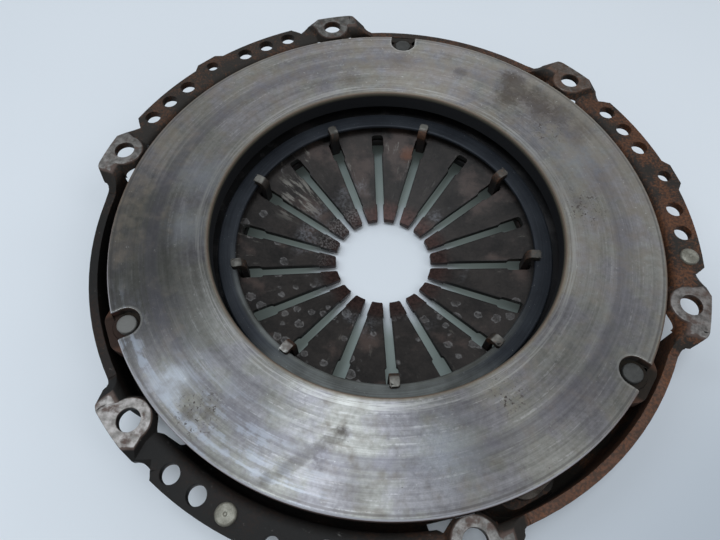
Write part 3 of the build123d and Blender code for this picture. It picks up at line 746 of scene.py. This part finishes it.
spring_finish, spring_shader, spring_place = new_finish("oiled_spring_steel")
spring_x, spring_y = spring_place.axes()[:2]
spring_r, spring_cos, spring_sin = polar(spring_x, spring_y)
spring_cloud = spring_place.noise(0.07, 6.0, 0.6)
spring_grain = spring_place.noise(0.7, 6.0, 0.65)
streak_place = spring_place.vector(spring_r * 0.10, spring_cos * 22.0, spring_sin * 22.0)
drawn_streaks = streak_place.noise(1.0, 5.0, 0.7)
oil_black, oil_brown = (0.0108, 0.0092, 0.0084), (0.037, 0.0305, 0.027)
spring_tone = (spring_cloud * 0.8 + spring_grain * 0.4).rise(0.38, 0.82).tint(oil_black, oil_brown)
far_side = spring_y.rise(10.0, 50.0)
rust_bloom = (spring_place.noise(0.05, 5.0, 0.6) + far_side * 0.05).rise(0.54, 0.70)
spring_tone = (rust_bloom * 0.5).tint(spring_tone, (0.070, 0.037, 0.026))
# grey rubbed streaks run along the fingers, most on the upper left
upper_left = (spring_y * 0.6 - spring_x * 0.8).rise(20.0, 55.0)
scored_finger = distance(spring_x + 51.0, spring_y - 16.0)
streaks = drawn_streaks.rise(0.56, 0.70) * spring_place.noise(0.12, 3.0).rise(0.48, 0.62)
streaks = streaks * (0.25 + upper_left * 0.6)
streaks = (drawn_streaks.rise(0.47, 0.60) * scored_finger.rise(17.0, 7.0) * 0.75).most(streaks)
spring_tone = streaks.tint(spring_tone, (0.22, 0.205, 0.18))
orange_spot = distance(spring_x + 5.0, spring_y - 60.0) + (spring_grain - 0.5) * 8.0
spring_tone = (orange_spot.rise(5.5, 1.5) * 0.65).tint(spring_tone, (0.13, 0.052, 0.028))
# dried drops leave pale rings, most on the lower fingers
drop_warp = spring_place.noise(0.5, 2.0, 0.5) * 2.0
drop_place = spring_place.vector(spring_x + drop_warp, spring_y - drop_warp, 0.0)
drop_distance = drop_place.cells(0.165)
drop_pick = drop_place.cells(0.165, output=1).axes()[0]
lower = (spring_x * 0.15 - spring_y).rise(8.0, 36.0)
lower = lower.most((0 - spring_x - spring_y * 0.5).rise(46.0, 60.0) * 0.5)
drop_size = 0.17 + drop_pick * 0.19
drop_edge = (drop_distance - drop_size).maths("ABSOLUTE").rise(0.075, 0.01)
drop_body = drop_distance.rise(drop_size, drop_size - 0.08)
drop_here = (drop_pick + lower * 0.80).rise(1.0, 1.10) * spring_r.rise(31.0, 36.0)
drops = (drop_edge * 0.40 + drop_body * 0.20) * drop_here * spring_grain.rise(0.28, 0.60)
spring_tone = drops.least(1.0).tint(spring_tone, (0.27, 0.26, 0.255))
# a bluish haze lies just outside the rubbed tips of some fingers
haze = spring_r.ring(39.0, 3.0, 5.0) * spring_place.noise(0.045, 3.0).rise(0.50, 0.66)
haze = haze * spring_grain.rise(0.35, 0.7)
spring_tone = (haze * 0.5).tint(spring_tone, (0.21, 0.215, 0.235))
tip_rub = (spring_r + (spring_cloud - 0.5) * 9.0).rise(36.0, 27.0)
tip_tone = spring_grain.rise(0.3, 0.7).tint((0.020, 0.0105, 0.0092), (0.068, 0.036, 0.031))
# the tips on the left are speckled grey instead
grey_tips = (spring_x * -0.95 + spring_y * 0.2).rise(16.0, 32.0)
tip_speckle = spring_place.noise(1.1, 3.0, 0.6).rise(0.44, 0.60)
tip_tone = grey_tips.tint(tip_tone, tip_speckle.tint((0.022, 0.018, 0.017), (0.20, 0.185, 0.18)))
# painted shade: beyond the ring, under it and the plate, the spring is painted near black
painted_shade_under_ring = spring_r.rise(73.0, 76.5)
spring_tone = (painted_shade_under_ring * 0.85).tint(spring_tone, (0.0045, 0.005, 0.0065))
# the edges of the fingers along the slots are darker
slot_side = folded(spring_x, spring_y, finger_count, radians(first_slot))[1]
slot_edge = slot_side.maths("ABSOLUTE").rise(3.1, 2.2) * spring_r.rise(34.0, 36.0)
spring_tone = (slot_edge * 0.55).tint(spring_tone, (0.006, 0.005, 0.005))
spring_tone = (tip_rub * 0.8).tint(spring_tone, tip_tone)
spring_tone.into(spring_shader, "Base Color")
(0.55 - rust_bloom * 0.35 + tip_rub * 0.2 - drops * 0.5).rise(0.0, 1.0).into(spring_shader, "Metallic")
(0.46 + spring_grain * 0.14 + drops * 0.25 - tip_rub * 0.1).into(spring_shader, "Roughness")
(spring_grain * 0.8 + spring_cloud + drops * 0.5).relief(spring_shader, 0.00012)

fingers = turned(
    "diaphragm_fingers",
    (
        (tip_r, cone_top(tip_r)),
        (fulcrum_r, cone_top(fulcrum_r)),
        (fulcrum_r, cone_top(fulcrum_r) - spring_depth),
        (tip_r, cone_top(tip_r) - spring_depth),
    ),
    288,
)
slot_cut_height = 60.0
for name, start, end, width, corner in (
    ("slot_mouth", 15.0, 32.5, 3.2, 0.0),
    ("slot", 32.0, 60.0, 4.2, 0.0),
    ("slot_window", 59.0, 69.2, 5.9, 1.4),
):
    slot_place = ((start + end) / 2, 0, -slot_cut_height / 2)
    slot_cut = block(name, (end - start, width, slot_cut_height), slot_place, corner)
    combine(fingers, ring_of(slot_cut, finger_count, first_slot), "DIFFERENCE")


def tip_corner(edge):
    """True for the short upright edges at the corners of the finger tips."""
    low, high = edge.verts[0].co, edge.verts[1].co
    upright = abs(low.z - high.z) > 0.9 * spring_depth * MM
    sharp = len(edge.link_faces) == 2 and edge.calc_face_angle() > radians(40)
    return upright and sharp and low.xy.length < (tip_r + 0.8) * MM


tip_round = 1.7
choose(fingers)
bpy.ops.object.mode_set(mode="EDIT")
bpy.ops.mesh.select_all(action="SELECT")
bpy.ops.mesh.remove_doubles(threshold=1e-5)
pick(fingers, tip_corner)
bpy.ops.mesh.bevel(offset=tip_round * MM, segments=5)
bpy.ops.object.mode_set(mode="OBJECT")
round_edges(fingers, 0.25 * MM, 35)
fit(fingers, spring_finish, "cover", "spring_steel", "diaphragm_spring")
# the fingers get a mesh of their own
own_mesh(fingers)

# The unslotted rim of the spring is built in 18 sectors.
sector_pitch = 360 / finger_count
rim_radii = (fulcrum_r, 77.0, 80.0, 83.0, 86.0, 89.0, 92.0, 95.0, spring_edge_r)
rim_outline = [(radius, cone_top(radius)) for radius in rim_radii]
rim_outline += [(radius, cone_top(radius) - spring_depth) for radius in reversed(rim_radii)]
sector = turned("diaphragm_rim", rim_outline, 288)
choose(sector)
bpy.ops.object.mode_set(mode="EDIT")
for side in (-1, 1):
    edge_angle = side * radians(sector_pitch / 2)
    cut_normal = (-side * sin(edge_angle), side * cos(edge_angle), 0)
    bpy.ops.mesh.select_all(action="SELECT")
    bpy.ops.mesh.bisect(plane_co=(0, 0, 0), plane_no=cut_normal, clear_outer=True, use_fill=True)
bpy.ops.object.mode_set(mode="OBJECT")
bpy.ops.object.shade_smooth_by_angle(angle=radians(35))
for number in range(finger_count):
    turn = Matrix.Rotation(radians(number * sector_pitch), 4, "Z")
    rim = copied(sector, f"diaphragm_rim_{number + 1:02d}", turn)
    fit(rim, spring_finish, None, "spring_steel", "diaphragm_spring")
    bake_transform(rim)
bpy.data.objects.remove(sector)


# ---- preload ring and fulcrum wires ------------------------------------------------------
# A flat blued steel ring lies under the nine hooks and keeps the spring pressed on its wires.
# The two wires are drawn steel rings, one each side of the spring.
ring_finish, ring_shader, ring_place = new_finish("blued_ring_steel")
ring_x, ring_y = ring_place.axes()[:2]
ring_r, ring_cos, ring_sin = polar(ring_x, ring_y)
ring_lines = ring_place.vector(ring_r * 2.0, ring_cos * 2.0, ring_sin * 2.0).noise(1.0, 5.0, 0.6)
ring_cloud = ring_place.noise(0.05, 5.0, 0.6)
ring_grain = ring_place.noise(0.8, 5.0, 0.6)
# painted reflection: the near side and the inner edge of the ring are painted a lighter grey-green
ring_near_sheen = (ring_x * 0.25 - ring_y).rise(53.0, 72.0)
ring_lip_sheen = (ring_x * 0.1 - ring_y).rise(10.0, 60.0) * ring_r.rise(73.0, 70.6)
blue_black, blue_grey = (0.010, 0.012, 0.017), (0.034, 0.039, 0.047)
ring_tone = (ring_lines * 0.5 + ring_cloud * 0.6).rise(0.35, 0.8).tint(blue_black, blue_grey)
ring_sheen_grey = (ring_cloud + ring_lines * 0.5).rise(0.55, 0.95)
ring_sheen_grey = ring_sheen_grey.tint((0.070, 0.070, 0.058), (0.165, 0.172, 0.162))
ring_tone = (ring_near_sheen * (0.35 + ring_cloud * 0.6)).most(ring_lip_sheen * 0.8).tint(ring_tone, ring_sheen_grey)
ring_dust = ring_place.noise(1.6, 2.0).rise(0.72, 0.78) * 0.5
ring_tone = ring_dust.tint(ring_tone, (0.45, 0.45, 0.43))
ring_tone.into(ring_shader, "Base Color")
(0.55 - ring_dust).into(ring_shader, "Metallic")
(0.50 + ring_grain * 0.16).into(ring_shader, "Roughness")
(ring_grain + ring_lines * 0.5).relief(ring_shader, 0.00006)
ring_inner, ring_outer, ring_round = 69.5, 77.8, 0.9
ring_front, ring_back = -14.72, -16.82
ring_outline = []
for corner_r, corner_z, start in (
    (ring_inner + ring_round, ring_front - ring_round, 180),
    (ring_outer - ring_round, ring_front - ring_round, 90),
    (ring_outer - ring_round, ring_back + ring_round, 0),
    (ring_inner + ring_round, ring_back + ring_round, -90),
):
    for step in range(5):
        angle = radians(start - step * 22.5)
        ring_outline.append((corner_r + ring_round * cos(angle), corner_z + ring_round * sin(angle)))
preload = turned("preload_ring_pressing", ring_outline, 240)
bpy.ops.object.shade_smooth_by_angle(angle=radians(35))
fit(preload, ring_finish, "cover", "ring_steel", "preload_ring")

wire_finish, wire_shader, wire_place = new_finish("drawn_wire")
wire_grain = wire_place.noise(0.5, 5.0, 0.6)
wire_grain.tint((0.05, 0.045, 0.04), (0.24, 0.22, 0.20)).into(wire_shader, "Base Color")
wire_shader.inputs["Metallic"].default_value = 0.9
(0.35 + wire_grain * 0.25).into(wire_shader, "Roughness")
for node in ("front_fulcrum_wire", "rear_fulcrum_wire"):
    for material_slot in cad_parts[node].material_slots:
        material_slot.material = wire_finish


# ---- drive straps ------------------------------------------------------------------------
# Three packs of three spring-steel leaves, 15 mm wide, tie the plate to the cover.
# They let it slide along the axis, and pull it round with the engine.
strap_finish, strap_shader, strap_place = new_finish("rolled_strap_steel")
strap_cloud = strap_place.noise(0.09, 5.0, 0.6)
strap_grain = strap_place.noise(1.1, 5.0, 0.6)
strap_brown, strap_grey = (0.045, 0.035, 0.028), (0.20, 0.175, 0.15)
strap_tone = (strap_cloud * 0.7 + strap_grain * 0.4).rise(0.35, 0.85).tint(strap_brown, strap_grey)
strap_rust = strap_place.noise(0.16, 5.0, 0.65).rise(0.55, 0.7)
(strap_rust * 0.7).tint(strap_tone, (0.12, 0.055, 0.03)).into(strap_shader, "Base Color")
(0.9 - strap_rust * 0.7).into(strap_shader, "Metallic")
(0.42 + strap_grain * 0.2 + strap_rust * 0.15).into(strap_shader, "Roughness")
strap_grain.relief(strap_shader, 0.00008)

strap_circle = strap_circle_r * MM
lug_turn, anchor_turn = radians(lug_angle), radians(-16.0)
strap_span = 2 * strap_circle * sin((lug_turn - anchor_turn) / 2)
leaf_half = 7.5 * MM
leaf_thickness, leaf_pitch = 0.8 * MM, 0.86 * MM
leaf_drop = 7.4 * MM
flat_run = 9.5 * MM
top_leaf_height = -12.86 * MM

# a strip of columns, with ten at each end drawn in to a half circle
leaf_columns = 44
end_columns = 10
bpy.ops.object.select_all(action="DESELECT")
bpy.ops.mesh.primitive_grid_add(x_subdivisions=leaf_columns, y_subdivisions=1, size=1)
leaf = bpy.context.object
bpy.ops.object.mode_set(mode="EDIT")
leaf_mesh = bmesh.from_edit_mesh(leaf.data)
for vertex in leaf_mesh.verts:
    column = round((vertex.co.x + 0.5) * leaf_columns)
    from_end = min(column, leaf_columns - column)
    end_side = -1 if column < leaf_columns / 2 else 1
    edge_side = -1 if vertex.co.y < 0 else 1
    if from_end < end_columns:
        angle = radians(90 * from_end / end_columns)
        vertex.co.x = end_side * (strap_span / 2 + leaf_half * cos(angle))
        vertex.co.y = edge_side * leaf_half * sin(angle)
    else:
        straight = (column - end_columns) / (leaf_columns - 2 * end_columns)
        vertex.co.x = strap_span * (straight - 0.5)
        vertex.co.y = edge_side * leaf_half
bmesh.update_edit_mesh(leaf.data)
bpy.ops.mesh.select_all(action="SELECT")
bpy.ops.mesh.remove_doubles(threshold=1e-6)
# the leaf is cranked: its anchored end lies lower, with a soft bend at both ends of the slope
leaf_mesh = bmesh.from_edit_mesh(leaf.data)
for vertex in leaf_mesh.verts:
    along = (vertex.co.x + strap_span / 2 - flat_run) / (strap_span - 2 * flat_run)
    eased = min(max(along, 0.0), 1.0)
    vertex.co.z -= leaf_drop * (eased * 0.75 + 0.25 * eased * eased * (3 - 2 * eased))
bmesh.update_edit_mesh(leaf.data)
bpy.ops.object.mode_set(mode="OBJECT")
choose(leaf)
sheet_metal = leaf.modifiers.new("thickness", "SOLIDIFY")
sheet_metal.thickness = leaf_thickness
sheet_metal.offset = 0
bpy.ops.object.modifier_apply(modifier=sheet_metal.name)
round_edges(leaf, 0.12 * MM, 40)

for group in range(3):
    middle = radians(first_sector + 120 * group)
    lug_point = Vector((cos(middle + lug_turn), sin(middle + lug_turn), 0)) * strap_circle
    anchor_point = Vector((cos(middle + anchor_turn), sin(middle + anchor_turn), 0)) * strap_circle
    chord = (anchor_point - lug_point).normalized()
    turn = Matrix.Rotation(atan2(chord.y, chord.x), 4, "Z")
    for layer in range(3):
        height = Vector((0, 0, top_leaf_height - leaf_pitch * layer))
        place = Matrix.Translation((anchor_point + lug_point) / 2 + height)
        piece = copied(leaf, f"strap_leaf_{group + 1}_{layer + 1}", place @ turn)
        fit(piece, strap_finish, None, "strap_steel", f"drive_strap_{group + 1}_{layer + 1}")
        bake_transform(piece)
bpy.data.objects.remove(leaf)


# ---- rivets ------------------------------------------------------------------------------
# Steel rivets hold each strap pack: one through the lug, one through the cover's pad.
# Each has a low dome on one side and a flat set head on the other.
def close_middle(piece, radius):
    """Closes the small hole that turning leaves round the axis, and shades the piece smooth."""
    choose(piece)
    bpy.ops.object.mode_set(mode="EDIT")
    bpy.ops.mesh.select_mode(type="EDGE")
    pick(piece, lambda edge: max(end.co.xy.length for end in edge.verts) < radius * MM)
    bpy.ops.mesh.select_mode(type="FACE")
    bpy.ops.mesh.delete(type="FACE")
    bpy.ops.mesh.select_all(action="SELECT")
    bpy.ops.mesh.fill_holes(sides=0)
    bpy.ops.mesh.normals_make_consistent(inside=False)
    bpy.ops.object.mode_set(mode="OBJECT")
    bpy.ops.object.shade_smooth_by_angle(angle=radians(35))


rivet_finish, rivet_shader, rivet_place = new_finish("rivet_steel")
rivet_cloud = rivet_place.noise(0.35, 5.0, 0.6)
rivet_grain = rivet_place.noise(1.6, 4.0, 0.6)
dark_steel, matt_steel = (0.036, 0.036, 0.033), (0.072, 0.071, 0.066)
rivet_tone = (rivet_cloud * 0.7 + rivet_grain * 0.4).rise(0.35, 0.8).tint(dark_steel, matt_steel)
# the one on the left is cleaner than the others
rivet_left = (0 - rivet_place.axes()[0]).rise(40.0, 80.0)
rivet_tone = (rivet_left * 0.6).tint(rivet_tone, (0.22, 0.215, 0.20))
rivet_tone.into(rivet_shader, "Base Color")
rivet_shader.inputs["Metallic"].default_value = 0.3
(0.55 + rivet_grain * 0.2).into(rivet_shader, "Roughness")
(rivet_grain + rivet_cloud).relief(rivet_shader, 0.0001)

shank_r, middle_r = 2.9, 0.3
dome_steps = (
    (4.1, 0.0),
    (4.1, 1.85),
    (3.98, 2.12),
    (3.72, 2.28),
    (3.2, 2.34),
    (2.0, 2.38),
    (middle_r, 2.4),
)
set_steps = ((4.6, 0.0), (4.6, 1.2), (4.4, 1.6), (4.0, 1.8), (middle_r, 1.8))
for kind, body, kind_turn, upwards, dome_base, set_base in (
    ("lug_rivet", "pressure_plate", lug_turn, 1, -5.14, -15.04),
    ("anchor_rivet", "cover", anchor_turn, -1, -26.3, -19.8),
):
    outline = [(radius, dome_base + upwards * height) for radius, height in reversed(dome_steps)]
    outline += [(shank_r, dome_base), (shank_r, set_base)]
    outline += [(radius, set_base - upwards * height) for radius, height in set_steps]
    model = turned(kind, outline, 40)
    close_middle(model, middle_r + 0.05)
    for group in range(3):
        angle = radians(first_sector + 120 * group) + kind_turn
        place = Matrix.Translation((strap_circle * cos(angle), strap_circle * sin(angle), 0))
        rivet = copied(model, f"{kind}_head_{group + 1}", place)
        fit(rivet, rivet_finish, body, "rivet_steel", f"{kind}_{group + 1}")
    bpy.data.objects.remove(model)


# ---- balance rivets ----------------------------------------------------------------------
# Two plated steel plugs balance the cover. They are pressed into holes in its flange,
# and have a dimple in the middle of the head.
plug_finish, plug_shader, plug_place = new_finish("dull_plating")
plug_cloud = plug_place.noise(0.4, 5.0, 0.6)
plug_grain = plug_place.noise(2.0, 4.0, 0.6)
dull_plating, pale_plating = (0.13, 0.122, 0.095), (0.36, 0.345, 0.29)
plug_tone = (plug_cloud * 0.7 + plug_grain * 0.4).rise(0.3, 0.85).tint(dull_plating, pale_plating)
plug_tone.into(plug_shader, "Base Color")
plug_shader.inputs["Metallic"].default_value = 0.6
(0.42 + plug_grain * 0.2).into(plug_shader, "Roughness")
(plug_grain + plug_cloud).relief(plug_shader, 0.00008)
balance_circle, plug_middle_r = 132.9, 0.2
plug_outline = (
    (plug_middle_r, -2.4),
    (0.5, -2.3),
    (0.85, -1.96),
    (3.1, -1.94),
    (3.6, -2.1),
    (3.95, -2.55),
    (4.0, -3.24),
    (3.6, -3.24),
    (3.6, -7.1),
    (2.8, -7.9),
    (plug_middle_r, -7.9),
)
model = turned("balance_plug", plug_outline, 40)
close_middle(model, plug_middle_r + 0.05)
for number, place_angle in enumerate((11.0, 262.0)):
    out = Matrix.Rotation(radians(place_angle), 4, "Z") @ Vector((balance_circle * MM, 0, 0))
    plug = copied(model, f"balance_plug_{number + 1}", Matrix.Translation(out))
    fit(plug, plug_finish, "cover", "balance_rivet_steel", f"balance_rivet_{number + 1}")
bpy.data.objects.remove(model)
